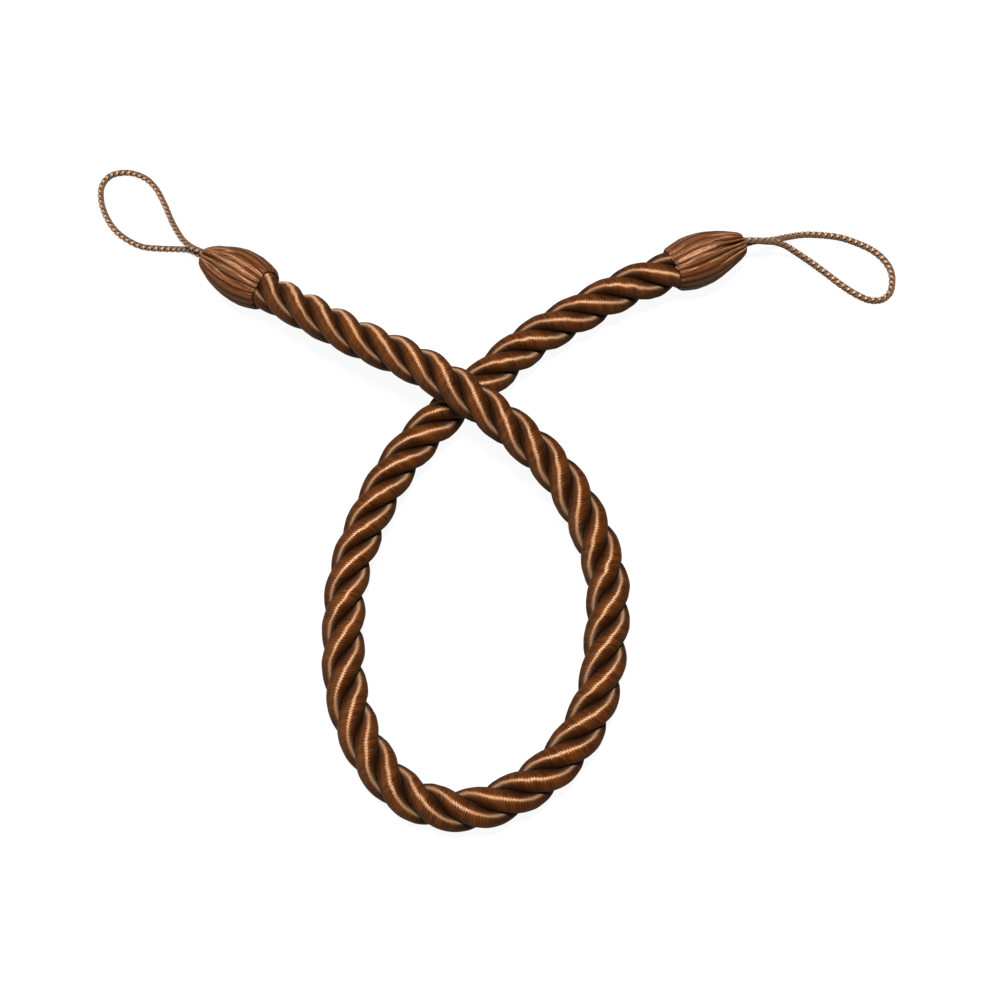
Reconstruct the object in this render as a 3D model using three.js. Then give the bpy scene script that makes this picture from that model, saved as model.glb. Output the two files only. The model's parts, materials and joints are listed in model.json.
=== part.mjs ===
// A rope curtain tieback lying on a flat surface. One thick three-strand rope starts in the left
// cap, makes a big open loop, passes under its own first arm and ends in the right cap. Each cap is
// a bell of yarn laid lengthwise, and a thin loop of two-ply cord comes out of its nose.
// Millimetres, +Z up. The origin is on the surface, under the middle of the tieback's outline.
import * as THREE from 'three';

// The rope: three strands laid right-handed.
const ROPE_STRANDS = 3;
const ROPE_STRAND_SPREAD = 1.19; // a strand's width over its depth
const ROPE_POINTS_PER_STRAND = 6;
const ROPE_STEPS_PER_TURN = 12;
const ROPE_REST = 8.2; // height of the rope's axis where it lies on the surface
const ROPE_CROSSING = 24.7; // height of the axis at the top of the hump, over the lower arm
const ROPE_IN_CAP = 12; // length hidden in each cap
const ROPE_STRAIGHT = 8; // length past each mouth that stays in line with the cap

// The hanging loops: two plies laid left-handed.
const PLY_COUNT = 2;
const PLY_SPREAD = 1.3;
const PLY_WAIST = 0.5; // least radius between the plies, as a part of the full radius
const PLY_POINTS = 4;
const PLY_STEPS_PER_TURN = 6;
const PLY_LAY = 5.6; // length of one turn
const LOOP_RADIUS = 1.42;
const LOOP_REST = 1.34;
const LOOP_IN_NOSE = 4;
const LEG_OFFSET = 1.6; // from the nose's centre to each leg
const LOOP_LEFT_FIRST_LEG = 75; // degrees round the nose, from its side towards its top
const LOOP_RIGHT_FIRST_LEG = -90;

// The caps.
const CAP_RIBS = 20;
const RIB_POINTS = 3;
const CAP_WIDEST = 11.8;
const END_GAP = 0.4; // between a cord's end and the bottom of its hole
const SOCKET_DEPTH = ROPE_IN_CAP + END_GAP;
const SOCKET_PLAY = 0.35; // between a cord's crests and the hole that holds it
const LIP_THICKNESS = 0.75; // of the yarn where it turns in at the mouth
const NOSE_HOLE_DEPTH = LOOP_IN_NOSE + END_GAP;
const NOSE_HOLE_RADIUS = LEG_OFFSET + LOOP_RADIUS + SOCKET_PLAY;
const NOSE_EDGE = 0.3; // how far the edge of the nose's hole is set back

// Each cap's outline from its nose (along = 0) to its mouth (along = 1). The radius is over the
// ribs, and groove is how deep the lines between them are.
const CAP_OUTLINE = [
  { along: 0.0, radius: 4.1, groove: 0.2 },
  { along: 0.02, radius: 4.9, groove: 0.4 },
  { along: 0.05, radius: 5.7, groove: 0.6 },
  { along: 0.11, radius: 6.8, groove: 0.7 },
  { along: 0.19, radius: 8.0, groove: 0.7 },
  { along: 0.29, radius: 9.3, groove: 0.6 },
  { along: 0.41, radius: 10.6, groove: 0.5 },
  { along: 0.53, radius: 11.5, groove: 0.3 },
  { along: 0.65, radius: CAP_WIDEST, groove: 0.12 },
  { along: 0.76, radius: 11.6, groove: 0.12 },
  { along: 0.87, radius: 10.8, groove: 0.25 },
  { along: 0.96, radius: 9.9, groove: 0.3 },
];

// Where each cap lies: its nose, the compass angle from nose to mouth, and the rise to the mouth.
const CAP_LEFT = { nose: [-125.5, 100, 7.5], heading: -36, rise: 9.5, length: 36, crest: 8.2 };
const CAP_RIGHT = { nose: [110.5, 104.2, 11.4], heading: -156.2, rise: 0, length: 34.8, crest: 8.6 };

// The rope's route from the left cap round to the right one, by the middle of the rope.
const ROPE_ROUTE = [
  [-78, 66, 17.6],
  [-54, 50.7, 21.4],
  [-31, 38.3, 23.7],
  [-9.5, 23.4, ROPE_CROSSING],
  [9.5, 8.3, 23.1],
  [27, -8.4, 18.9],
  [39.5, -28.5, 13.2],
  [46.5, -51, 9.2],
  [45.5, -75.5, ROPE_REST],
  [41, -99, ROPE_REST],
  [29.5, -119.5, ROPE_REST],
  [12.5, -134, ROPE_REST],
  [-9, -141.3, ROPE_REST],
  [-30.5, -136, ROPE_REST],
  [-46, -119.5, ROPE_REST],
  [-55, -97.5, ROPE_REST],
  [-57.5, -73.5, ROPE_REST],
  [-56.5, -49, ROPE_REST],
  [-49.5, -25, ROPE_REST],
  [-38.5, -1.5, ROPE_REST],
  [-23, 18.5, ROPE_REST],
  [-4, 37, ROPE_REST],
  [15.5, 55.5, ROPE_REST],
  [38, 70.5, 8.7],
  [60.5, 83, 10.4],
];

// The left loop's route, from its upper leg round to its lower leg.
const LOOP_LEFT_ROUTE = [
  [-130.1, 103.1, 8.2],
  [-133.4, 105.7, 7.0],
  [-136.9, 109.8, 5.4],
  [-140.0, 114.8, 4.0],
  [-143.0, 120.4, 2.6],
  [-145.6, 126.1, 1.7],
  [-148.5, 132.4, LOOP_REST],
  [-152.6, 139.6, LOOP_REST],
  [-157.3, 144.6, LOOP_REST],
  [-163.1, 147.4, LOOP_REST],
  [-168.7, 147.9, LOOP_REST],
  [-174.0, 146.1, LOOP_REST],
  [-177.0, 141.2, LOOP_REST],
  [-177.0, 134.9, LOOP_REST],
  [-174.4, 126.4, LOOP_REST],
  [-169.2, 117.9, LOOP_REST],
  [-163.2, 112.5, LOOP_REST],
  [-155.7, 108.6, LOOP_REST],
  [-147.2, 107.6, LOOP_REST],
  [-140.5, 107.2, 1.6],
  [-136.8, 106.4, 2.6],
  [-134.0, 105.3, 3.8],
  [-130.6, 103.0, 5.1],
];

// The right loop's route, from its lower leg round to its upper leg, which lies on top.
const LOOP_RIGHT_ROUTE = [
  [116.3, 106.4, 9.3],
  [121.3, 107.8, 7.6],
  [126.0, 109.6, 5.6],
  [132.2, 112.4, 3.4],
  [140.3, 114.6, 1.8],
  [149.2, 114.5, LOOP_REST],
  [156.3, 113.3, LOOP_REST],
  [163.2, 110.6, LOOP_REST],
  [169.5, 107.0, LOOP_REST],
  [174.2, 102.3, LOOP_REST],
  [177.0, 96.4, LOOP_REST],
  [177.0, 89.9, LOOP_REST],
  [175.0, 84.3, LOOP_REST],
  [171.0, 81.4, LOOP_REST],
  [166.0, 81.4, LOOP_REST],
  [160.7, 84.1, LOOP_REST],
  [154.1, 89.3, LOOP_REST],
  [147.9, 94.9, 1.7],
  [141.5, 99.8, 2.8],
  [134.2, 103.9, 5.2],
  [129.9, 105.7, 7.0],
  [125.1, 106.2, 9.0],
  [120.5, 105.3, 10.9],
  [116.0, 104.9, 12.3],
];

// How the rope's thickness and twist change, by the distance from the left cap's mouth. The crest
// is the radius over the strands. A turn is one full turn of a strand round the rope.
const ROPE_THICKNESS = [
  { along: 0, crest: CAP_LEFT.crest },
  { along: 90, crest: 8.4 },
  { along: 150, crest: 8.45 },
  { along: 205, crest: 8.9 },
  { along: 265, crest: 8.65 },
  { along: 315, crest: 8.1 },
  { along: 390, crest: 8.6 },
  { along: 440, crest: 8.4 },
  { along: 510, crest: 8.7 },
  { along: 600, crest: CAP_RIGHT.crest },
];
const ROPE_TWIST = [
  { along: -12, turns: -0.455 },
  { along: 12, turns: 0.095 },
  { along: 102, turns: 2.115 },
  { along: 192, turns: 4.105 },
  { along: 282, turns: 6.035 },
  { along: 372, turns: 8.065 },
  { along: 462, turns: 10.065 },
  { along: 552, turns: 11.955 },
  { along: 629, turns: 13.565 },
  { along: 661, turns: 14.235 },
];

const UP = new THREE.Vector3(0, 0, 1);
const DIVISIONS_PER_POINT = 40; // how finely a route's length is measured

const ROPE_FINISH = { color: 0x80501f, roughness: 0.5, metalness: 0 };
const CAP_FINISH = { color: 0x8a5830, roughness: 0.45, metalness: 0 };
const LOOP_FINISH = { color: 0x8c6038, roughness: 0.55, metalness: 0 };

// The value of one column of a table at a distance, in a straight line between its rows.
function valueAt(table, column, along) {
  const last = table.length - 1;
  let row = 0;
  while (row < last - 1 && table[row + 1].along < along) row += 1;
  const from = table[row];
  const to = table[row + 1];
  const part = THREE.MathUtils.clamp((along - from.along) / (to.along - from.along), 0, 1);
  return THREE.MathUtils.lerp(from[column], to[column], part);
}

// The radius, at an angle round a laid cord, of an outline of strands that each reach from the
// cord's middle to its crest, as a part of the crest's radius.
function strandOutline(angle, strands, spread) {
  const sector = (2 * Math.PI) / strands;
  const off = angle - sector * Math.round(angle / sector);
  return Math.cos(off) / (Math.cos(off) ** 2 + (Math.sin(off) / spread) ** 2);
}

// A closed solid through a row of rings, each a ring of as many points. Each four-sided face is
// split along its shorter diagonal, and each end is closed on the ring's own middle.
function loft(rings) {
  const round = rings[0].length;
  const positions = [];
  const faces = [];
  const at = (ring, point) => ring * round + (point % round);
  rings.flat().forEach((point) => positions.push(point.x, point.y, point.z));
  for (let ring = 0; ring + 1 < rings.length; ring += 1) {
    for (let point = 0; point < round; point += 1) {
      const next = (point + 1) % round;
      const [a, b] = [at(ring, point), at(ring, next)];
      const [c, d] = [at(ring + 1, point), at(ring + 1, next)];
      const risingShort = rings[ring][point].distanceTo(rings[ring + 1][next]);
      const fallingShort = rings[ring][next].distanceTo(rings[ring + 1][point]);
      if (risingShort < fallingShort) faces.push(a, b, d, a, d, c);
      else faces.push(a, b, c, c, b, d);
    }
  }
  const addMiddle = (ring) => {
    const middle = new THREE.Vector3();
    ring.forEach((point) => middle.addScaledVector(point, 1 / round));
    positions.push(middle.x, middle.y, middle.z);
    return positions.length / 3 - 1;
  };
  const first = addMiddle(rings[0]);
  const last = addMiddle(rings[rings.length - 1]);
  for (let point = 0; point < round; point += 1) {
    faces.push(first, at(0, point + 1), at(0, point));
    faces.push(last, at(rings.length - 1, point), at(rings.length - 1, point + 1));
  }
  const geometry = new THREE.BufferGeometry();
  geometry.setAttribute('position', new THREE.Float32BufferAttribute(positions, 3));
  geometry.setIndex(faces);
  geometry.computeVertexNormals();
  return geometry;
}

function smoothCurve(route) {
  const curve = new THREE.CatmullRomCurve3(route, false, 'centripetal');
  curve.arcLengthDivisions = route.length * DIVISIONS_PER_POINT;
  return curve;
}

// A laid cord along a curve. profile(along) gives the ring at a distance: its radius and its turn,
// in full turns. outline(angle) gives the cord's section.
function laidCord(curve, startAlong, steps, roundPoints, profile, outline) {
  const length = curve.getLength();
  const rings = [];
  for (let step = 0; step <= steps; step += 1) {
    const part = step / steps;
    const middle = curve.getPointAt(part);
    const tangent = curve.getTangentAt(part);
    const side = UP.clone().cross(tangent).normalize();
    const top = tangent.clone().cross(side);
    const { radius, turns } = profile(startAlong + part * length);
    const ring = [];
    for (let point = 0; point < roundPoints; point += 1) {
      const angle = (2 * Math.PI * point) / roundPoints;
      const reach = radius * outline(angle);
      const turned = angle + 2 * Math.PI * turns;
      const place = middle.clone();
      place.addScaledVector(side, reach * Math.cos(turned));
      place.addScaledVector(top, reach * Math.sin(turned));
      place.z = Math.max(place.z, 0);
      ring.push(place);
    }
    rings.push(ring);
  }
  return loft(rings);
}

// A cap's own directions, and the turn and place that carry it from its own frame, nose at the
// origin and mouth along +X, to where it lies.
function capFrame(cap) {
  const heading = THREE.MathUtils.degToRad(cap.heading);
  const rise = THREE.MathUtils.degToRad(cap.rise);
  const turn = new THREE.Euler(0, -rise, heading, 'ZYX');
  const axis = new THREE.Vector3(1, 0, 0).applyEuler(turn);
  const side = new THREE.Vector3(0, 1, 0).applyEuler(turn);
  const top = new THREE.Vector3(0, 0, 1).applyEuler(turn);
  const nose = new THREE.Vector3(...cap.nose);
  const mouth = nose.clone().addScaledVector(axis, cap.length);
  return { turn, axis, side, top, nose, mouth };
}

function capRing(along, radius, groove) {
  const points = CAP_RIBS * RIB_POINTS;
  const ring = [];
  for (let point = 0; point < points; point += 1) {
    const angle = (2 * Math.PI * point) / points;
    const reach = point % RIB_POINTS === 0 ? radius - groove : radius;
    ring.push(new THREE.Vector3(along, reach * Math.cos(angle), reach * Math.sin(angle)));
  }
  return ring;
}

function makeCap(name, cap) {
  const frame = capFrame(cap);
  const socket = cap.crest + SOCKET_PLAY;
  const lip = socket + LIP_THICKNESS;
  const rings = [
    capRing(NOSE_HOLE_DEPTH, NOSE_HOLE_RADIUS, 0),
    capRing(NOSE_EDGE, NOSE_HOLE_RADIUS, 0),
  ];
  CAP_OUTLINE.forEach((row) => {
    rings.push(capRing(row.along * cap.length, row.radius, row.groove));
  });
  rings.push(capRing(cap.length, lip, 0));
  rings.push(capRing(cap.length, socket, 0));
  rings.push(capRing(cap.length - SOCKET_DEPTH, socket, 0));
  const toWorld = new THREE.Matrix4().makeRotationFromEuler(frame.turn).setPosition(frame.nose);
  const toCap = toWorld.clone().invert();
  rings.flat().forEach((point) => {
    point.applyMatrix4(toWorld);
    point.z = Math.max(point.z, 0);
    point.applyMatrix4(toCap);
  });
  const mesh = new THREE.Mesh(loft(rings), new THREE.MeshStandardMaterial(CAP_FINISH));
  mesh.name = name;
  mesh.position.copy(frame.nose);
  mesh.rotation.copy(frame.turn);
  return mesh;
}

function makeRope(name) {
  const left = capFrame(CAP_LEFT);
  const right = capFrame(CAP_RIGHT);
  const route = [
    left.mouth.clone().addScaledVector(left.axis, -ROPE_IN_CAP),
    left.mouth,
    left.mouth.clone().addScaledVector(left.axis, ROPE_STRAIGHT),
    ...ROPE_ROUTE.map((point) => new THREE.Vector3(...point)),
    right.mouth.clone().addScaledVector(right.axis, ROPE_STRAIGHT),
    right.mouth,
    right.mouth.clone().addScaledVector(right.axis, -ROPE_IN_CAP),
  ];
  const turnsIn = ROPE_TWIST[ROPE_TWIST.length - 1].turns - ROPE_TWIST[0].turns;
  const geometry = laidCord(
    smoothCurve(route),
    -ROPE_IN_CAP,
    Math.round(turnsIn * ROPE_STEPS_PER_TURN),
    ROPE_STRANDS * ROPE_POINTS_PER_STRAND,
    (along) => ({
      radius: valueAt(ROPE_THICKNESS, 'crest', along),
      turns: valueAt(ROPE_TWIST, 'turns', along),
    }),
    (angle) => strandOutline(angle, ROPE_STRANDS, ROPE_STRAND_SPREAD),
  );
  const mesh = new THREE.Mesh(geometry, new THREE.MeshStandardMaterial(ROPE_FINISH));
  mesh.name = name;
  return mesh;
}

// A loop out of a cap's nose. The route's first leg comes out at the angle firstLeg round the
// nose, and the other leg comes out across from it.
function makeLoop(name, cap, middleRoute, firstLeg) {
  const frame = capFrame(cap);
  const legAngle = THREE.MathUtils.degToRad(firstLeg);
  const across = new THREE.Vector3();
  across.addScaledVector(frame.side, LEG_OFFSET * Math.cos(legAngle));
  across.addScaledVector(frame.top, LEG_OFFSET * Math.sin(legAngle));
  const legPoint = (sign, depth) => {
    const point = frame.nose.clone().addScaledVector(across, sign);
    return point.addScaledVector(frame.axis, depth);
  };
  const route = [
    legPoint(1, LOOP_IN_NOSE),
    legPoint(1, 0),
    ...middleRoute.map((point) => new THREE.Vector3(...point)),
    legPoint(-1, 0),
    legPoint(-1, LOOP_IN_NOSE),
  ];
  const curve = smoothCurve(route);
  const turnsIn = curve.getLength() / PLY_LAY;
  const geometry = laidCord(
    curve,
    0,
    Math.round(turnsIn * PLY_STEPS_PER_TURN),
    PLY_COUNT * PLY_POINTS,
    (along) => ({ radius: LOOP_RADIUS, turns: -along / PLY_LAY }),
    (angle) => Math.max(strandOutline(angle, PLY_COUNT, PLY_SPREAD), PLY_WAIST),
  );
  const mesh = new THREE.Mesh(geometry, new THREE.MeshStandardMaterial(LOOP_FINISH));
  mesh.name = name;
  return mesh;
}

const tieback = new THREE.Group();
tieback.name = 'rope_tieback';
tieback.add(makeRope('rope'));
tieback.add(makeCap('cap_left', CAP_LEFT));
tieback.add(makeCap('cap_right', CAP_RIGHT));
tieback.add(makeLoop('loop_left', CAP_LEFT, LOOP_LEFT_ROUTE, LOOP_LEFT_FIRST_LEG));
tieback.add(makeLoop('loop_right', CAP_RIGHT, LOOP_RIGHT_ROUTE, LOOP_RIGHT_FIRST_LEG));

export default tieback;
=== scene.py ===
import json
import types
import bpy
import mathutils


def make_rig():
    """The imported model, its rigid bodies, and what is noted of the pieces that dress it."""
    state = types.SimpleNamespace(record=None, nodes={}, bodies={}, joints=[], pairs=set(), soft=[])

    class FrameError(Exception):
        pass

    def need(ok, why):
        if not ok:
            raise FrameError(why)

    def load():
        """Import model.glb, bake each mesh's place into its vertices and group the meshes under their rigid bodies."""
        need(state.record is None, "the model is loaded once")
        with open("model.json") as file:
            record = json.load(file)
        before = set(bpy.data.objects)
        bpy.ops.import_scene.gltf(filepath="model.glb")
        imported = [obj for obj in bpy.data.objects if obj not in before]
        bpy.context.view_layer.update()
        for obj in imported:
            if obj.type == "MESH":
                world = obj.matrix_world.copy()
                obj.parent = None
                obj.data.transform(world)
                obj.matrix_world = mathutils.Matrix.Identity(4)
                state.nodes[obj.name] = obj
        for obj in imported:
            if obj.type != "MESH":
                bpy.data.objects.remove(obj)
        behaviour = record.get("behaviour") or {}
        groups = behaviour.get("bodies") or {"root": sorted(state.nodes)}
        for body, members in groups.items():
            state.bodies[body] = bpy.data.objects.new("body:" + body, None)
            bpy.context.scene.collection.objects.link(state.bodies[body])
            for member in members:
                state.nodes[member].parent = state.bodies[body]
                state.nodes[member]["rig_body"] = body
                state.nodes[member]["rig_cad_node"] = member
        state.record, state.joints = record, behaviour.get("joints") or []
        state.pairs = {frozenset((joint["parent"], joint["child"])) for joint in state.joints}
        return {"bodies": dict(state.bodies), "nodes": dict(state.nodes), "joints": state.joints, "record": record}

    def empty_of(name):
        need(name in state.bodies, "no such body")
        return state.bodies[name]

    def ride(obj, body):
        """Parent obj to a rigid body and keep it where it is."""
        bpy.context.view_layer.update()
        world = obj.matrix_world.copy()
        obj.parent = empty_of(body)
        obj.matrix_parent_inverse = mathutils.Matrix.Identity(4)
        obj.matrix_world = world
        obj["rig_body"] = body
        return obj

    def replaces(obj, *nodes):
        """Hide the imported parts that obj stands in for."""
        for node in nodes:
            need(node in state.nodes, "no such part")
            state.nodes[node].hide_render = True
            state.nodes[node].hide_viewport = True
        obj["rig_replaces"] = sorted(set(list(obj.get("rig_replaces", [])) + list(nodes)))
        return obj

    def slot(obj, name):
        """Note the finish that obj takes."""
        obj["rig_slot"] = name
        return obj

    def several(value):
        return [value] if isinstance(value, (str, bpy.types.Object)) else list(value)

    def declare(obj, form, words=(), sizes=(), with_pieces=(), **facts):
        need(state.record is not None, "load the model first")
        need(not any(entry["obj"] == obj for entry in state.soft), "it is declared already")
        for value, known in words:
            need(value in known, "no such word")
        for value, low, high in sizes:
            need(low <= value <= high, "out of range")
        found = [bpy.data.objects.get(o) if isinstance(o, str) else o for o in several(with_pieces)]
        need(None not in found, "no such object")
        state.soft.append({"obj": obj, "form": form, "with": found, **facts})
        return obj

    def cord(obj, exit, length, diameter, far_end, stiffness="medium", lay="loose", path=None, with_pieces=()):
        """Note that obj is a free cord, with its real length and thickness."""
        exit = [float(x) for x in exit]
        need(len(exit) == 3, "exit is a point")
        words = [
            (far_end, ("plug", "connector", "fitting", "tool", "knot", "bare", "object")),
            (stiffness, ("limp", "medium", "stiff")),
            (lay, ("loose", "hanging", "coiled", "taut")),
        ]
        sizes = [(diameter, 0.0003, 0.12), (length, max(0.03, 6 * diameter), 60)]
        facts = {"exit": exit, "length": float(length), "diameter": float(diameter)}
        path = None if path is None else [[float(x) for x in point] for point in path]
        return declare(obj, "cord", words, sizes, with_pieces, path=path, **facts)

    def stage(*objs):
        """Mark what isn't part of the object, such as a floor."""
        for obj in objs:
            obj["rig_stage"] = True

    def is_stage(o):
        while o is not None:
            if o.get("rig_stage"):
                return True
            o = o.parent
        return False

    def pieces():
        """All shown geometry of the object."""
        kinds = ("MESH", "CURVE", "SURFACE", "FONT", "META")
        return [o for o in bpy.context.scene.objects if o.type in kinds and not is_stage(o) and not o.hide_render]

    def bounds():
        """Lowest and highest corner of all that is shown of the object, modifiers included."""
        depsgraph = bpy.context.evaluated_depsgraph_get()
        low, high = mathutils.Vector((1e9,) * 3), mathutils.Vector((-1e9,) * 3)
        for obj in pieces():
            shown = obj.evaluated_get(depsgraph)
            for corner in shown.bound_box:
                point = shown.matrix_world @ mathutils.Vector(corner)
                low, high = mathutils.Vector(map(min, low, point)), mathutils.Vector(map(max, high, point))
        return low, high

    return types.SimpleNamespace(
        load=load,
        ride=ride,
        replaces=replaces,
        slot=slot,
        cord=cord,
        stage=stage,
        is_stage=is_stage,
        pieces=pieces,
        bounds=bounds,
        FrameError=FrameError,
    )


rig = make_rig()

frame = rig.load()

# A rope curtain tieback lying on a pale table: one thick three-strand rope in an open loop that
# crosses itself, a bell of satin yarn over each end, and a thin two-ply hanging loop out of each
# bell. Metres, +Z up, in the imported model's frame.
import json
import math

import bmesh
import bpy
from mathutils import Matrix, Vector, noise

packed_box = [list(corner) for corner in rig.bounds()]

CM = 0.01
UP = Vector((0, 0, 1))
TURN = 2 * math.pi

# The camera: a 50 mm lens on a 36 mm frame, 567 mm from the middle of the tieback.
LENS = 50
SENSOR = 36
AIM = Vector((0.004, -0.016, 0.008))
CAMERA_DISTANCE = 0.567
CAMERA_ELEVATION = math.radians(68)

# The rope.
STRANDS = 3
STRAND_SPREAD = 1.19  # a strand's width over its depth
STRAND_STEPS = 1180
STRAND_POINTS = 26
STRAND_GAP = 0.00004  # from a strand's pressed flank to the plane between it and the next
STRAND_SWELL = 0.02  # how unevenly thick a strand is, over its thickness
STRAND_PRESSED = 0.0004  # the height over the table in which a strand flattens
ROPE_REST = 0.0082
ROPE_CROSSING = 0.0247
ROPE_IN_CAP = 0.012
ROPE_STRAIGHT = 0.008
ROPE_DIAMETER = 0.017
ROPE_LENGTH = 0.661

# The hanging loops.
PLIES = 2
PLY_SPREAD = 1.75
PLY_CORE = 0.76  # the radius of the soft inside between the plies, over their crest
PLY_STEPS = 420
PLY_POINTS = 12
PLY_GAP = 0.00002
PLY_SWELL = 0.05
PLY_PRESSED = 0.0001
PLY_LAY = 0.0056
LOOP_RADIUS = 0.00142
LOOP_LEFT_RADIUS = 0.00131
LOOP_REST = 0.00134
LOOP_IN_NOSE = 0.004
LEG_OFFSET = 0.0016
LOOP_LEFT_FIRST_LEG = math.radians(75)
LOOP_RIGHT_FIRST_LEG = math.radians(-90)

# Both kinds of cord.
CREST_CROWDING = 0.35  # how much closer the points of a strand's outline lie at its crest
SWELLS_PER_METRE = 260
STRANDS_APART = 10  # between the threads of one strand and those of the next, in centimetres

# The caps.
CAP_RIBS = 20
RIB_POINTS = 9
CAP_STEPS = 96
SOCKET_PLAY = 0.00035
SOCKET_DEPTH = 0.0124
NOSE_HOLE_RADIUS = 0.00337
NOSE_HOLE_DEPTH = 0.0044
LIP_PLAY = 0.0002  # between the mouth's edge and the strands it lies over
LIP_SPAN = 0.87  # the edge's least reach between two strands, over the strands' crest
LIP_RAGGED = 0.0011  # how unevenly the ribs end at the mouth
LIP_SCALLOP = 0.0004  # how far the middle of a rib's end stands out past its sides
FOLD_SPREAD = math.radians(11)
FOLD_DEPTH = 0.001
FLOOR_PLAY = 0.00005  # the least height of the yarn over the table

# The grooves between the ribs: their depth on top of a cap and on its flanks, where the yarn lies
# smoother, how much it changes from one to the next, how far they wander in rib widths, and how
# they narrow towards the mouth.
CROWN_GROOVES = 1.15
FLANK_GROOVES = 0.3
GROOVE_UNEVEN = 1.6
GROOVE_LEAST = 0.25
GROOVE_DRIFT = 0.3
CROWN_EASE = 1.5
GROOVE_SHARPNESS = 1.3
GROOVE_SHARPENING = 1.3
GROOVE_SHARPEST_FROM = 0.6

# The ribs: the fine parting along a rib's crest, how uneven their height is, and how far the bell
# under them is from round.
PARTING_DEPTH = 0.3
PARTING_NARROWNESS = 3.5
RIB_UNEVEN = 0.0003
BELL_UNEVEN = 0.0005
BELL_LUMPS = 1.6

# How quickly the unevenness changes: from one rib to the next, and per metre along it.
DRIFT_CHANGE = (1.9, 90)
GROOVE_CHANGE = (5.3, 45)
RIB_CHANGE = (3.1, 150)
LIP_CHANGE = 2.7
BELL_CHANGE = 45

# A stray thread: a thin tube that tapers and curls over.
STRAY_SIDES = 5
STRAY_STEPS = 8
STRAY_RADIUS = 0.00009
STRAY_THICK_END = 1.3
STRAY_BEND = 0.5
STRAY_BACK = 0.0008  # how far it starts from the mouth's edge
STRAY_OVER = 0.0004  # and how far over the socket
STRAY_FORWARD = 0.9

# Where each cap lies, the reach of the strands in its mouth, where its fold runs, and its stray
# threads: angle round the mouth in degrees, length and curl.
CAP_LEFT = {
    "nose": (-0.1255, 0.1, 0.0075),
    "heading": math.radians(-36),
    "rise": math.radians(9.5),
    "length": 0.036,
    "crest": 0.0082,
    "seed": 2.0,
    "fold_at": math.radians(133),
    "strays": [
        (98, 0.0026, 0.3),
        (91, 0.0021, -0.2),
        (60, 0.0016, 0.8),
        (140, 0.0014, -0.6),
        (20, 0.0013, 0.5),
    ],
}
CAP_RIGHT = {
    "nose": (0.1105, 0.1042, 0.0114),
    "heading": math.radians(-156.2),
    "rise": 0.0,
    "length": 0.0348,
    "crest": 0.0086,
    "seed": 5.0,
    "fold_at": math.radians(50),
    "strays": [
        (80, 0.0015, 0.4),
        (125, 0.0013, -0.5),
        (45, 0.0012, 0.6),
        (160, 0.0014, 0.2),
    ],
}

# A cap's nose, from inside the cord's hole and out: distance along, radius, groove depth.
CAP_NOSE = [
    (NOSE_HOLE_DEPTH, NOSE_HOLE_RADIUS, 0.0),
    (0.0006, NOSE_HOLE_RADIUS, 0.0),
    (0.0001, 0.0038, 0.0002),
]

# A cap's outline from nose to mouth: share of the length, radius over the ribs, groove depth.
CAP_OUTLINE = [
    (0.0, 0.0041, 0.0003),
    (0.02, 0.0049, 0.0010),
    (0.05, 0.0057, 0.0015),
    (0.11, 0.0068, 0.0018),
    (0.19, 0.0080, 0.0018),
    (0.29, 0.0093, 0.0016),
    (0.41, 0.0106, 0.0012),
    (0.53, 0.0115, 0.0005),
    (0.65, 0.0118, 0.0003),
    (0.76, 0.0116, 0.0003),
    (0.87, 0.0108, 0.0005),
    (0.95, 0.0100, 0.0008),
]

# A cap's mouth, over its edge and into the socket: distance back from the edge, radius past the
# socket's, groove depth, and how closely it follows the strands.
CAP_MOUTH = [
    (0.0006, 0.0010, 0.0011, 0.7),
    (0.0, 0.0003, 0.0007, 1.0),
    (0.0012, 0.0, 0.0001, 0.8),
    (0.005, 0.0, 0.0, 0.0),
    (SOCKET_DEPTH, 0.0, 0.0, 0.0),
]

# The rope's route from the left cap round to the right one, by the middle of the rope.
ROPE_ROUTE = [
    (-0.078, 0.066, 0.0176),
    (-0.054, 0.0507, 0.0214),
    (-0.031, 0.0383, 0.0237),
    (-0.0095, 0.0234, ROPE_CROSSING),
    (0.0095, 0.0083, 0.0231),
    (0.027, -0.0084, 0.0189),
    (0.0395, -0.0285, 0.0132),
    (0.0465, -0.051, 0.0092),
    (0.0455, -0.0755, ROPE_REST),
    (0.041, -0.099, ROPE_REST),
    (0.0295, -0.1195, ROPE_REST),
    (0.0125, -0.134, ROPE_REST),
    (-0.009, -0.1413, ROPE_REST),
    (-0.0305, -0.136, ROPE_REST),
    (-0.046, -0.1195, ROPE_REST),
    (-0.055, -0.0975, ROPE_REST),
    (-0.0575, -0.0735, ROPE_REST),
    (-0.0565, -0.049, ROPE_REST),
    (-0.0495, -0.025, ROPE_REST),
    (-0.0385, -0.0015, ROPE_REST),
    (-0.023, 0.0185, ROPE_REST),
    (-0.004, 0.037, ROPE_REST),
    (0.0155, 0.0555, ROPE_REST),
    (0.038, 0.0705, 0.0087),
    (0.0605, 0.083, 0.0104),
]

# How the rope's radius over the strands, and its twist in full turns, change along it from the
# left cap's mouth.
ROPE_THICKNESS = [
    (0.0, 0.0082),
    (0.09, 0.0084),
    (0.15, 0.00845),
    (0.205, 0.0089),
    (0.265, 0.00865),
    (0.315, 0.0081),
    (0.39, 0.0086),
    (0.44, 0.0084),
    (0.51, 0.0087),
    (0.6, 0.0086),
]
ROPE_TWIST = [
    (-0.012, -0.455),
    (0.012, 0.095),
    (0.102, 2.115),
    (0.192, 4.105),
    (0.282, 6.035),
    (0.372, 8.065),
    (0.462, 10.065),
    (0.552, 11.955),
    (0.629, 13.565),
    (0.661, 14.235),
]

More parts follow.
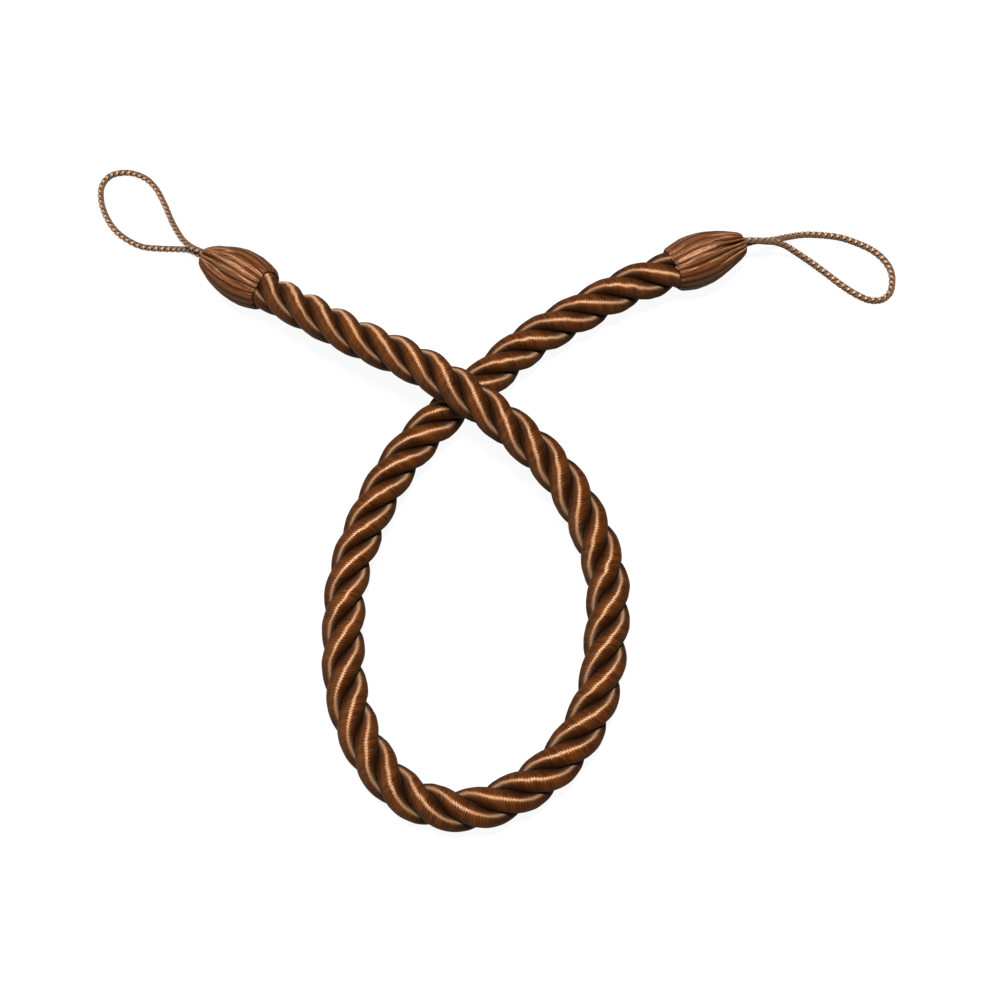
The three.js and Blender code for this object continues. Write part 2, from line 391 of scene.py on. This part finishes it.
# The hanging loops' routes, from one leg round to the other, by the middle of the cord.
LOOP_LEFT_ROUTE = [
    (-0.1301, 0.1031, 0.0082),
    (-0.1334, 0.1057, 0.0070),
    (-0.1369, 0.1098, 0.0054),
    (-0.1400, 0.1148, 0.0040),
    (-0.1430, 0.1204, 0.0026),
    (-0.1456, 0.1261, 0.0017),
    (-0.1485, 0.1324, LOOP_REST),
    (-0.1526, 0.1396, LOOP_REST),
    (-0.1573, 0.1446, LOOP_REST),
    (-0.1631, 0.1474, LOOP_REST),
    (-0.1687, 0.1479, LOOP_REST),
    (-0.1740, 0.1461, LOOP_REST),
    (-0.1770, 0.1412, LOOP_REST),
    (-0.1770, 0.1349, LOOP_REST),
    (-0.1744, 0.1264, LOOP_REST),
    (-0.1692, 0.1179, LOOP_REST),
    (-0.1632, 0.1125, LOOP_REST),
    (-0.1557, 0.1086, LOOP_REST),
    (-0.1472, 0.1076, LOOP_REST),
    (-0.1405, 0.1072, 0.0016),
    (-0.1368, 0.1064, 0.0026),
    (-0.1340, 0.1053, 0.0038),
    (-0.1306, 0.1030, 0.0051),
]
LOOP_RIGHT_ROUTE = [
    (0.1163, 0.1064, 0.0093),
    (0.1213, 0.1078, 0.0076),
    (0.1260, 0.1096, 0.0056),
    (0.1322, 0.1124, 0.0034),
    (0.1403, 0.1146, 0.0018),
    (0.1492, 0.1145, LOOP_REST),
    (0.1563, 0.1133, LOOP_REST),
    (0.1632, 0.1106, LOOP_REST),
    (0.1695, 0.1070, LOOP_REST),
    (0.1742, 0.1023, LOOP_REST),
    (0.1770, 0.0964, LOOP_REST),
    (0.1770, 0.0899, LOOP_REST),
    (0.1750, 0.0843, LOOP_REST),
    (0.1710, 0.0814, LOOP_REST),
    (0.1660, 0.0814, LOOP_REST),
    (0.1607, 0.0841, LOOP_REST),
    (0.1541, 0.0893, LOOP_REST),
    (0.1479, 0.0949, 0.0017),
    (0.1415, 0.0998, 0.0028),
    (0.1342, 0.1039, 0.0052),
    (0.1299, 0.1057, 0.0070),
    (0.1251, 0.1062, 0.0090),
    (0.1205, 0.1053, 0.0109),
    (0.1160, 0.1049, 0.0123),
]


def value_at(table, along, column=1):
    """A column of a table at a distance, in a straight line between its rows."""
    row = 0
    while row < len(table) - 2 and table[row + 1][0] < along:
        row += 1
    low, high = table[row], table[row + 1]
    part = min(1, max(0, (along - low[0]) / (high[0] - low[0])))
    return low[column] + (high[column] - low[column]) * part


class Route:
    """The smooth line through a route's points, measured along its length."""

    PARTS = 40  # between two points

    def __init__(self, points):
        points = [Vector(p) for p in points]
        before = points[0] * 2 - points[1]
        after = points[-1] * 2 - points[-2]
        ends = [before, *points, after]
        self.places = []
        for a, b, c, d in zip(ends, ends[1:], ends[2:], ends[3:]):
            ab, bc, cd = ((q - p).length ** 0.5 for p, q in ((a, b), (b, c), (c, d)))
            leave = ((b - a) / ab - (c - a) / (ab + bc) + (c - b) / bc) * bc
            arrive = ((c - b) / bc - (d - b) / (bc + cd) + (d - c) / cd) * bc
            for k in range(self.PARTS):
                t = k / self.PARTS
                self.places.append(
                    b
                    + leave * t
                    + (-3 * b + 3 * c - 2 * leave - arrive) * t * t
                    + (2 * b - 2 * c + leave + arrive) * t**3
                )
        self.places.append(points[-1])
        self.marks = [0.0]
        for p, q in zip(self.places, self.places[1:]):
            self.marks.append(self.marks[-1] + (q - p).length)
        self.length = self.marks[-1]

    def rings(self, steps):
        """For steps + 1 even stations: distance, middle, side and top directions."""
        found = []
        k = 0
        for step in range(steps + 1):
            along = self.length * step / steps
            while k < len(self.marks) - 2 and self.marks[k + 1] < along:
                k += 1
            part = (along - self.marks[k]) / (self.marks[k + 1] - self.marks[k])
            middle = self.places[k].lerp(self.places[k + 1], part)
            back, on = max(k - 1, 0), min(k + 2, len(self.places) - 1)
            early = self.places[k + 1] - self.places[back]
            late = self.places[on] - self.places[k]
            tangent = early.normalized().lerp(late.normalized(), part).normalized()
            side = UP.cross(tangent).normalized()
            found.append((along, middle, side, tangent.cross(side)))
        return found


def cap_frame(cap):
    """Where a cap lies: its axis from nose to mouth, its side and top, its nose and mouth."""
    turn = Matrix.Rotation(cap["heading"], 3, "Z") @ Matrix.Rotation(-cap["rise"], 3, "Y")
    axis, side, top = (turn @ Vector(v) for v in ((1, 0, 0), (0, 1, 0), (0, 0, 1)))
    nose = Vector(cap["nose"])
    mouth = nose + axis * cap["length"]
    return {"axis": axis, "side": side, "top": top, "nose": nose, "mouth": mouth}


def rope_route():
    """The middle of the rope, from inside the left cap to inside the right one."""
    left, right = cap_frame(CAP_LEFT), cap_frame(CAP_RIGHT)
    return Route(
        [
            left["mouth"] - left["axis"] * ROPE_IN_CAP,
            left["mouth"],
            left["mouth"] + left["axis"] * ROPE_STRAIGHT,
            *ROPE_ROUTE,
            right["mouth"] + right["axis"] * ROPE_STRAIGHT,
            right["mouth"],
            right["mouth"] - right["axis"] * ROPE_IN_CAP,
        ]
    )


def loop_route(cap, middle, first_leg):
    """The middle of a hanging cord, out of a cap's nose and back. first_leg is the angle round the
    nose that it leaves at."""
    at = cap_frame(cap)
    across = at["side"] * (LEG_OFFSET * math.cos(first_leg))
    across += at["top"] * (LEG_OFFSET * math.sin(first_leg))
    inside = at["axis"] * LOOP_IN_NOSE
    return Route(
        [
            at["nose"] + across + inside,
            at["nose"] + across,
            *middle,
            at["nose"] - across,
            at["nose"] - across + inside,
        ]
    )


def finished(name, shape):
    """The piece of a finished bmesh, with smooth faces."""
    mesh = bpy.data.meshes.new(name)
    for face in shape.faces:
        face.smooth = True
    shape.to_mesh(mesh)
    shape.free()
    piece = bpy.data.objects.new(name, mesh)
    bpy.context.scene.collection.objects.link(piece)
    return piece


def rolled_sheet(shape, steps, points, place, spots):
    """Rolls a flat grid into a tube and closes its ends. place(step, point) puts each corner, and
    spots(along, turn) gives the thread's own coordinates: the distance along in centimetres, and
    how far round, in strands or in ribs."""
    grid = bmesh.ops.create_grid(
        shape, x_segments=steps, y_segments=points, size=0.5, calc_uvs=True
    )
    corners = grid["verts"]
    faces = {face for corner in corners for face in corner.link_faces}
    thread = shape.loops.layers.uv.verify()
    for face in faces:
        for loop in face.loops:
            loop[thread].uv = spots(loop.vert.co.x + 0.5, loop.vert.co.y + 0.5)
    for corner in corners:
        step = round((corner.co.x + 0.5) * steps)
        point = round((corner.co.y + 0.5) * points)
        corner.co = place(step, point % points)
    bmesh.ops.remove_doubles(shape, verts=corners, dist=1e-7)
    ends = [edge for edge in shape.edges if edge.is_boundary]
    bmesh.ops.holes_fill(shape, edges=ends, sides=points)
    bmesh.ops.recalc_face_normals(shape, faces=shape.faces)


def strand_corner(turn, crest, spread, strands, gap):
    """A point of one strand's outline: how far out from the cord's middle, and how far to the side.
    The strand is pressed flat against its neighbours."""
    out = crest / 2 * (1 + math.cos(turn))
    side = spread * crest / 2 * math.sin(turn)
    lean = math.pi / strands
    sign = 1 if side >= 0 else -1
    over = abs(side) * math.cos(lean) - out * math.sin(lean) + gap
    if over > 0:
        out += over * math.sin(lean)
        side -= sign * over * math.cos(lean)
    return out, side


def laid_cord(
    name, route, steps, points, strands, spread, gap, crest_at, turns_at, pressed, swell, core
):
    """A laid cord of several strands, each a closed tube wound round the route. With a core, which is a share of the
    crest, the strands' soft inside also shows between them, coloured with painted shade."""
    shape = bmesh.new()
    rings = route.rings(steps)
    for strand in range(strands):

        def place(step, point):
            along, middle, side, top = rings[step]
            turn = TURN * (point / points - 0.5)
            turn -= CREST_CROWDING * math.sin(turn)
            swollen = swell * noise.noise(Vector((along * SWELLS_PER_METRE, strand * 7.3, 1.7)))
            crest = crest_at(along) * (1 + swollen)
            out, aside = strand_corner(turn, crest, spread, strands, gap)
            angle = TURN * (turns_at(along) + strand / strands)
            reach = middle + side * (out * math.cos(angle) - aside * math.sin(angle))
            reach += top * (out * math.sin(angle) + aside * math.cos(angle))
            if reach.z < pressed:
                reach.z = pressed * math.exp(reach.z / pressed - 1)
            return reach

        def spots(along, turn):
            return along * route.length / CM + STRANDS_APART * strand, turn - 0.5

        rolled_sheet(shape, steps, points, place, spots)

    def core_place(step, point):
        along, middle, side, top = rings[step]
        turn = TURN * point / points
        reach = core * crest_at(along)
        return middle + side * (reach * math.cos(turn)) + top * (reach * math.sin(turn))

    # The core's thread spots lie midway between two strands, where the finish paints full shade.
    def core_spots(along, turn):
        return along * route.length / CM, 0.5

    if core:
        rolled_sheet(shape, steps, points, core_place, core_spots)
    return finished(name, shape)


def make_rope(name):
    """The rope's route and its piece."""
    route = rope_route()
    return route, laid_cord(
        name,
        route,
        steps=STRAND_STEPS,
        points=STRAND_POINTS,
        strands=STRANDS,
        spread=STRAND_SPREAD,
        gap=STRAND_GAP,
        crest_at=lambda along: value_at(ROPE_THICKNESS, along - ROPE_IN_CAP),
        turns_at=lambda along: value_at(ROPE_TWIST, along - ROPE_IN_CAP),
        pressed=STRAND_PRESSED,
        swell=STRAND_SWELL,
        core=0.0,
    )


def make_loop(name, cap, middle, first_leg, radius):
    """A hanging loop's route and its piece."""
    route = loop_route(cap, middle, first_leg)
    return route, laid_cord(
        name,
        route,
        steps=PLY_STEPS,
        points=PLY_POINTS,
        strands=PLIES,
        spread=PLY_SPREAD,
        gap=PLY_GAP,
        crest_at=lambda along: radius,
        turns_at=lambda along: -along / PLY_LAY,
        pressed=PLY_PRESSED,
        swell=PLY_SWELL,
        core=PLY_CORE,
    )


def lip_reach(angle, crest, turns, mirrored):
    """How far out the mouth's edge lies where it is drawn tight over the rope's strands."""
    sector = TURN / STRANDS
    around = (math.pi - angle if mirrored else angle) - TURN * turns
    off = around - sector * round(around / sector)
    over = crest * math.cos(off) / (math.cos(off) ** 2 + (math.sin(off) / STRAND_SPREAD) ** 2)
    return max(over + LIP_PLAY, LIP_SPAN * crest)


def stray_thread(shape, start, out, curl, length):
    """A loose end of fine thread, as a tapering tube that leaves the yarn and curls over."""
    out = out.normalized()
    across = out.cross(curl).normalized()
    over = across.cross(out)
    rows = []
    for step in range(STRAY_STEPS + 1):
        part = step / STRAY_STEPS
        middle = start + out * (length * part) + over * (length * STRAY_BEND * part * part)
        radius = STRAY_RADIUS * (STRAY_THICK_END - part)
        ring = []
        for side in range(STRAY_SIDES):
            turn = TURN * side / STRAY_SIDES
            aside = across * math.cos(turn) + over * math.sin(turn)
            place = middle + aside * radius
            ring.append(Vector((place.x, place.y, max(place.z, FLOOR_PLAY))))
        rows.append(ring)
    grid = bmesh.ops.create_grid(
        shape, x_segments=STRAY_STEPS, y_segments=STRAY_SIDES, size=0.5
    )
    corners = grid["verts"]
    for corner in corners:
        step = round((corner.co.x + 0.5) * STRAY_STEPS)
        side = round((corner.co.y + 0.5) * STRAY_SIDES)
        corner.co = rows[step][side % STRAY_SIDES]
    bmesh.ops.remove_doubles(shape, verts=corners, dist=1e-8)


def uneven(change, number, mark, seed):
    """A smooth random value, from -1 to 1, for a numbered rib or groove at a mark along it."""
    between, along = change
    return noise.noise(Vector((number * between, mark * along, seed)))


def make_cap(name, cap, turns, mirrored):
    """A bell of satin yarn: ribs from the nose to the mouth, where their ends are drawn tight over
    the rope, and one soft fold. turns is the rope's twist at the mouth, and mirrored says that the
    cap faces back along the rope."""
    at = cap_frame(cap)
    length = cap["length"]
    crest = cap["crest"]
    seed = cap["seed"]
    socket = crest + SOCKET_PLAY
    line = [(*row, 0.0) for row in CAP_NOSE]
    line += [(part * length, radius, groove, 0.0) for part, radius, groove in CAP_OUTLINE]
    line += [(length - back, socket + past, groove, hug) for back, past, groove, hug in CAP_MOUTH]
    marks = [0.0]
    for before, after in zip(line, line[1:]):
        marks.append(marks[-1] + math.hypot(after[0] - before[0], after[1] - before[1]))
    table = [(mark, *row) for mark, row in zip(marks, line)]
    points = CAP_RIBS * RIB_POINTS
    shape = bmesh.new()

    def place(step, point):
        mark = marks[-1] * step / CAP_STEPS
        along, radius, groove, hug = (value_at(table, mark, column) for column in (1, 2, 3, 4))
        angle = TURN * (point / points - 0.25)
        rib = point / RIB_POINTS
        number, line_number = math.floor(rib), round(rib)
        crown = max(0, math.sin(angle)) ** CROWN_EASE
        crown = FLANK_GROOVES + (CROWN_GROOVES - FLANK_GROOVES) * crown
        drift = GROOVE_DRIFT * uneven(DRIFT_CHANGE, line_number, mark, seed)
        across = 2 * abs((rib + drift) % 1 - 0.5)
        seam = uneven(GROOVE_CHANGE, line_number, mark, seed + 4)
        seam = max(GROOVE_LEAST, 1 + GROOVE_UNEVEN * seam)
        sharpening = min(1, max(0, along) / (GROOVE_SHARPEST_FROM * length))
        sharpness = GROOVE_SHARPNESS + GROOVE_SHARPENING * sharpening
        depth = groove * crown * seam * across**sharpness
        depth += PARTING_DEPTH * groove * (1 - min(1, across * PARTING_NARROWNESS)) ** 2
        depth -= RIB_UNEVEN * uneven(RIB_CHANGE, number, mark, seed) * (1 - across)
        radius += hug * (lip_reach(angle, crest, turns, mirrored) - socket)
        lump = Vector((math.cos(angle) * BELL_LUMPS, math.sin(angle) * BELL_LUMPS, 0))
        lump.z = mark * BELL_CHANGE + seed
        radius += BELL_UNEVEN * noise.noise(lump)
        fold = math.exp(-(((angle - cap["fold_at"]) / FOLD_SPREAD) ** 2))
        fold *= max(0, math.sin(math.pi * min(1, along / length)))
        radius -= FOLD_DEPTH * fold * (1 - hug)
        ragged = noise.noise(Vector((number * LIP_CHANGE, 8.1, seed)))
        along += hug * (LIP_RAGGED * ragged + LIP_SCALLOP * (1 - across))
        reach = at["nose"] + at["axis"] * along
        reach += at["side"] * ((radius - depth) * math.cos(angle))
        reach += at["top"] * ((radius - depth) * math.sin(angle))
        reach.z = max(reach.z, FLOOR_PLAY)
        return reach

    def spots(part, turn):
        return part * marks[-1] / CM, turn * CAP_RIBS + 0.5

    rolled_sheet(shape, CAP_STEPS, points, place, spots)
    for degrees, reach, curl in cap["strays"]:
        angle = math.radians(degrees)
        away = at["side"] * math.cos(angle) + at["top"] * math.sin(angle)
        around = at["top"] * math.cos(angle) - at["side"] * math.sin(angle)
        start = at["nose"] + at["axis"] * (length - STRAY_BACK) + away * (socket + STRAY_OVER)
        out = away + at["axis"] * STRAY_FORWARD + around * curl
        stray_thread(shape, start, out, around, reach)
    bmesh.ops.recalc_face_normals(shape, faces=shape.faces)
    return finished(name, shape)


# The finishes.


def add(tree, kind, **values):
    """A node with the given properties."""
    node = tree.nodes.new(kind)
    for key, value in values.items():
        setattr(node, key, value)
    return node


def satin_thread_group():
    """Satin thread wound round a core: the thread's colour with painted shade towards the creases, its shine and its
    fine relief.
    """
    group = bpy.data.node_groups.new("satin_thread", "ShaderNodeTree")
    sockets = [
        ("Deep", "INPUT", "NodeSocketColor"),
        ("Bright", "INPUT", "NodeSocketColor"),
        ("Painted_shade", "INPUT", "NodeSocketColor"),
        ("Threads", "INPUT", "NodeSocketFloat"),
        ("Starts", "INPUT", "NodeSocketFloat"),
        ("Bundles", "INPUT", "NodeSocketFloat"),
        ("Seam", "INPUT", "NodeSocketFloat"),
        ("Color", "OUTPUT", "NodeSocketColor"),
        ("Height", "OUTPUT", "NodeSocketFloat"),
        ("Roughness", "OUTPUT", "NodeSocketFloat"),
    ]
    for name, way, kind in sockets:
        group.interface.new_socket(name, in_out=way, socket_type=kind)
    into = add(group, "NodeGroupInput")
    out = add(group, "NodeGroupOutput")
    link = group.links.new

    uv = add(group, "ShaderNodeUVMap")
    part = add(group, "ShaderNodeSeparateXYZ")
    link(uv.outputs["UV"], part.inputs[0])

    def maths(operation, first, second=None, third=None):
        """The result of a Math node on sockets or plain values."""
        node = add(group, "ShaderNodeMath", operation=operation)
        for socket, value in zip(node.inputs, (first, second, third)):
            if value is None:
                continue
            if isinstance(value, (int, float)):
                socket.default_value = value
            else:
                link(value, socket)
        return node.outputs[0]

    # Uneven bundles of threads: noise that is long round the strand and short along it.
    stretch = add(group, "ShaderNodeCombineXYZ")
    link(maths("MULTIPLY", part.outputs["X"], into.outputs["Bundles"]), stretch.inputs[0])
    link(maths("MULTIPLY", part.outputs["Y"], 5.0), stretch.inputs[1])
    bundle = add(group, "ShaderNodeTexNoise")
    bundle.inputs["Scale"].default_value = 1.0
    bundle.inputs["Detail"].default_value = 3.0
    bundle.inputs["Roughness"].default_value = 0.6
    link(stretch.outputs[0], bundle.inputs["Vector"])

    # The wound threads: ridges round the strand, each with its own tone and its own tilt.
    turns = maths("MULTIPLY", part.outputs["X"], into.outputs["Threads"])
    phase = maths("MULTIPLY_ADD", part.outputs["Y"], into.outputs["Starts"], turns)
    phase = maths("ADD", phase, bundle.outputs["Fac"])
    ridge = maths("ABSOLUTE", maths("SINE", maths("MULTIPLY", phase, math.pi)))
    single = add(group, "ShaderNodeTexWhiteNoise", noise_dimensions="1D")
    link(maths("FLOOR", phase), single.inputs["W"])
    own = maths("SUBTRACT", single.outputs["Value"], 0.5)
    tilt = maths("MULTIPLY", maths("SINE", maths("MULTIPLY", part.outputs["Y"], TURN)), own)

    # Slow changes of tone along the strand.
    slow = add(group, "ShaderNodeTexNoise")
    place = add(group, "ShaderNodeTexCoord")
    link(place.outputs["Object"], slow.inputs["Vector"])
    slow.inputs["Scale"].default_value = 70.0
    slow.inputs["Detail"].default_value = 2.0

    tone = maths("MULTIPLY", slow.outputs["Fac"], 0.5)
    tone = maths("MULTIPLY_ADD", bundle.outputs["Fac"], 0.6, tone)
    tone = maths("MULTIPLY_ADD", own, 0.5, maths("ADD", tone, -0.25))
    # Painted shade: the base colour is lighter on each thread's crest and darker between threads.
    tone = maths("MULTIPLY_ADD", ridge, 0.35, tone)
    dyed = add(group, "ShaderNodeMix", data_type="RGBA")
    link(tone, dyed.inputs["Factor"])
    link(into.outputs["Deep"], dyed.inputs["A"])
    link(into.outputs["Bright"], dyed.inputs["B"])

    # Painted shade: the base colour darkens towards the crease between two strands, ribs or plies, where little light
    # gets in.
    from_crest = maths("SUBTRACT", maths("FRACT", part.outputs["Y"]), 0.5)
    back = maths("SUBTRACT", 0.5, maths("ABSOLUTE", from_crest))
    painted_shade_mask = add(group, "ShaderNodeMapRange", interpolation_type="SMOOTHSTEP")
    link(back, painted_shade_mask.inputs["Value"])
    link(into.outputs["Seam"], painted_shade_mask.inputs["From Max"])
    link(maths("MULTIPLY", into.outputs["Seam"], 0.33), painted_shade_mask.inputs["From Min"])
    shaded = add(group, "ShaderNodeMix", data_type="RGBA")
    link(painted_shade_mask.outputs["Result"], shaded.inputs["Factor"])
    link(dyed.outputs["Result"], shaded.inputs["A"])
    link(into.outputs["Painted_shade"], shaded.inputs["B"])
    link(shaded.outputs["Result"], out.inputs["Color"])

    height = maths("MULTIPLY_ADD", ridge, 0.5, maths("MULTIPLY", bundle.outputs["Fac"], 0.5))
    height = maths("MULTIPLY_ADD", tilt, 0.3, height)
    link(height, out.inputs["Height"])
    gloss = maths("MULTIPLY_ADD", bundle.outputs["Fac"], 0.16, 0.405)
    gloss = maths("MULTIPLY_ADD", own, 0.05, gloss)
    gloss = maths("MULTIPLY_ADD", painted_shade_mask.outputs["Result"], 0.3, gloss)
    link(gloss, out.inputs["Roughness"])
    return group


SATIN = satin_thread_group()


def satin(name, relief, values, shine, gloss_tint, anisotropic, sheen, sheen_tint):
    """A satin finish: wound thread that shines in a line along its strand. values feed the thread
    group, relief is in metres and shine is an index of refraction."""
    material = bpy.data.materials.new(name)
    material.use_nodes = True
    tree = material.node_tree
    skin = tree.nodes["Principled BSDF"]
    thread = add(tree, "ShaderNodeGroup")
    thread.node_tree = SATIN
    for key, value in values.items():
        thread.inputs[key].default_value = value
    bump = add(tree, "ShaderNodeBump")
    bump.inputs["Strength"].default_value = 1.0
    bump.inputs["Distance"].default_value = relief
    along = add(tree, "ShaderNodeTangent", direction_type="UV_MAP")
    tree.links.new(thread.outputs["Color"], skin.inputs["Base Color"])
    tree.links.new(thread.outputs["Roughness"], skin.inputs["Roughness"])
    tree.links.new(thread.outputs["Height"], bump.inputs["Height"])
    tree.links.new(bump.outputs["Normal"], skin.inputs["Normal"])
    tree.links.new(along.outputs["Tangent"], skin.inputs["Tangent"])
    skin.inputs["Metallic"].default_value = 0.0
    skin.inputs["IOR"].default_value = shine
    skin.inputs["Specular Tint"].default_value = gloss_tint
    skin.inputs["Anisotropic"].default_value = anisotropic
    skin.inputs["Sheen Weight"].default_value = sheen
    skin.inputs["Sheen Roughness"].default_value = 0.4
    skin.inputs["Sheen Tint"].default_value = sheen_tint
    return material


ROPE_SATIN = satin(
    "rope_satin",
    relief=0.00005,
    values={
        "Deep": (0.0080, 0.0014, 0.0002, 1),
        "Bright": (0.055, 0.0140, 0.0019, 1),
        # painted shade in the creases between strands
        "Painted_shade": (0.0038, 0.0006, 0.00015, 1),
        "Threads": 10.5,
        "Starts": 2.0,
        "Bundles": 9.0,
        "Seam": 0.35,
    },
    shine=1.76,
    gloss_tint=(1.0, 0.56, 0.30, 1),
    anisotropic=1.0,
    sheen=0.03,
    sheen_tint=(0.75, 0.45, 0.2, 1),
)
CAP_YARN = satin(
    "cap_yarn",
    relief=0.00008,
    values={
        "Deep": (0.028, 0.0076, 0.0021, 1),
        "Bright": (0.098, 0.0325, 0.0103, 1),
        # painted shade in the grooves between ribs
        "Painted_shade": (0.016, 0.0042, 0.0011, 1),
        "Threads": 0.4,
        "Starts": 4.0,
        "Bundles": 3.0,
        "Seam": 0.5,
    },
    shine=1.66,
    gloss_tint=(1.0, 0.55, 0.31, 1),
    anisotropic=0.9,
    sheen=0.05,
    sheen_tint=(0.8, 0.5, 0.25, 1),
)
LOOP_CORD = satin(
    "loop_cord",
    relief=0.00002,
    values={
        "Deep": (0.034, 0.0145, 0.0062, 1),
        "Bright": (0.128, 0.065, 0.033, 1),
        # painted shade in the creases between plies
        "Painted_shade": (0.012, 0.0040, 0.0015, 1),
        "Threads": 30.0,
        "Starts": 1.0,
        "Bundles": 16.0,
        "Seam": 0.32,
    },
    shine=1.85,
    gloss_tint=(1.0, 0.68, 0.46, 1),
    anisotropic=0.9,
    sheen=0.15,
    sheen_tint=(0.8, 0.6, 0.4, 1),
)


# The camera comes first, and then the cords.

camera = bpy.data.objects.new("camera", bpy.data.cameras.new("camera"))
bpy.context.scene.collection.objects.link(camera)
camera.data.lens = LENS
camera.data.sensor_width = SENSOR
towards = Vector((0, -math.cos(CAMERA_ELEVATION), math.sin(CAMERA_ELEVATION)))
camera.location = AIM + towards * CAMERA_DISTANCE
camera.rotation_euler = (-towards).to_track_quat("-Z", "Y").to_euler()
bpy.context.scene.camera = camera

rope_line, rope = make_rope("rope_laid")
loop_left_line, loop_left = make_loop(
    "loop_left_cord", CAP_LEFT, LOOP_LEFT_ROUTE, LOOP_LEFT_FIRST_LEG, LOOP_LEFT_RADIUS
)
loop_right_line, loop_right = make_loop(
    "loop_right_cord", CAP_RIGHT, LOOP_RIGHT_ROUTE, LOOP_RIGHT_FIRST_LEG, LOOP_RADIUS
)
left_twist = value_at(ROPE_TWIST, 0.0)
right_twist = value_at(ROPE_TWIST, rope_line.length - 2 * ROPE_IN_CAP)
cap_left = make_cap("cap_left_yarn", CAP_LEFT, left_twist, mirrored=False)
cap_right = make_cap("cap_right_yarn", CAP_RIGHT, right_twist, mirrored=True)

for piece, node, material, slot in (
    (rope, "rope", ROPE_SATIN, "rope_satin"),
    (cap_left, "cap_left", CAP_YARN, "cap_yarn"),
    (cap_right, "cap_right", CAP_YARN, "cap_yarn"),
    (loop_left, "loop_left", LOOP_CORD, "loop_cord"),
    (loop_right, "loop_right", LOOP_CORD, "loop_cord"),
):
    piece.data.materials.append(material)
    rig.ride(piece, "root")
    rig.replaces(piece, node)
    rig.slot(piece, slot)

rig.cord(
    rope,
    exit=cap_frame(CAP_LEFT)["mouth"],
    length=ROPE_LENGTH,
    diameter=ROPE_DIAMETER,
    far_end="object",
    stiffness="medium",
    lay="loose",
    path=rope_line.places,
)
for piece, line, cap, radius in (
    (loop_left, loop_left_line, CAP_LEFT, LOOP_LEFT_RADIUS),
    (loop_right, loop_right_line, CAP_RIGHT, LOOP_RADIUS),
):
    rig.cord(
        piece,
        exit=cap["nose"],
        length=line.length,
        diameter=2 * radius,
        far_end="object",
        stiffness="limp",
        lay="loose",
        path=line.places,
    )


# The table and the lights.

TABLE_HALF = 12.0

# How bright the table and what lies around it look to the lens, and how bright they are to the
# tieback.
TABLE_WHITE = 0.94
TABLE_GLOW = 0.25
SURROUND_WHITE = 0.95
SURROUND_GLOW = 0.1

ground = bmesh.new()
bmesh.ops.create_grid(ground, x_segments=1, y_segments=1, size=TABLE_HALF)
table_white = bpy.data.materials.new("table_white")
table_white.use_nodes = True
top_coat = table_white.node_tree.nodes["Principled BSDF"]
top_coat.inputs["Base Color"].default_value = (0.04, 0.04, 0.04, 1)
top_coat.inputs["Roughness"].default_value = 0.8
top_coat.inputs["Specular IOR Level"].default_value = 0.0
top_coat.inputs["Emission Color"].default_value = (1, 1, 1, 1)


def glowing(tree, socket, seen, cast):
    """Feeds a strength that is one value for the lens and a dimmer one for what lies around."""
    light_path = add(tree, "ShaderNodeLightPath")
    strength = add(tree, "ShaderNodeMath", operation="MULTIPLY_ADD")
    strength.inputs[1].default_value = seen - cast
    strength.inputs[2].default_value = cast
    tree.links.new(light_path.outputs["Is Camera Ray"], strength.inputs[0])
    tree.links.new(strength.outputs[0], socket)


glowing(table_white.node_tree, top_coat.inputs["Emission Strength"], TABLE_WHITE, TABLE_GLOW)
table_top = finished("table_top", ground)
table_top.data.materials.append(table_white)
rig.stage(table_top)


def soft_light(name, direction, distance, size, power):
    """A softbox that faces the tieback from a direction."""
    lamp = bpy.data.lights.new(name, "AREA")
    lamp.shape = "RECTANGLE"
    lamp.size, lamp.size_y = size
    lamp.energy = power
    holder = bpy.data.objects.new(name, lamp)
    bpy.context.scene.collection.objects.link(holder)
    away = Vector(direction).normalized()
    holder.location = AIM + away * distance
    holder.rotation_euler = (-away).to_track_quat("-Z", "Y").to_euler()


soft_light("key_softbox", (-0.04, 0.11, 1.0), 1.5, (0.6, 0.22), 90)
soft_light("fill_softbox", (-1.0, 0.15, 0.7), 2.0, (1.4, 1.4), 10)

surround = bpy.data.worlds.new("studio_surround")
surround.use_nodes = True
backdrop = surround.node_tree.nodes["Background"]
backdrop.inputs["Color"].default_value = (1, 1, 1, 1)
glowing(surround.node_tree, backdrop.inputs["Strength"], SURROUND_WHITE, SURROUND_GLOW)
bpy.context.scene.world = surround
bpy.context.scene.view_settings.view_transform = "Standard"

shown_box = [list(corner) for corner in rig.bounds()]
with open("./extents.json", "w") as file:
    json.dump({"packed": packed_box, "shown": shown_box}, file)
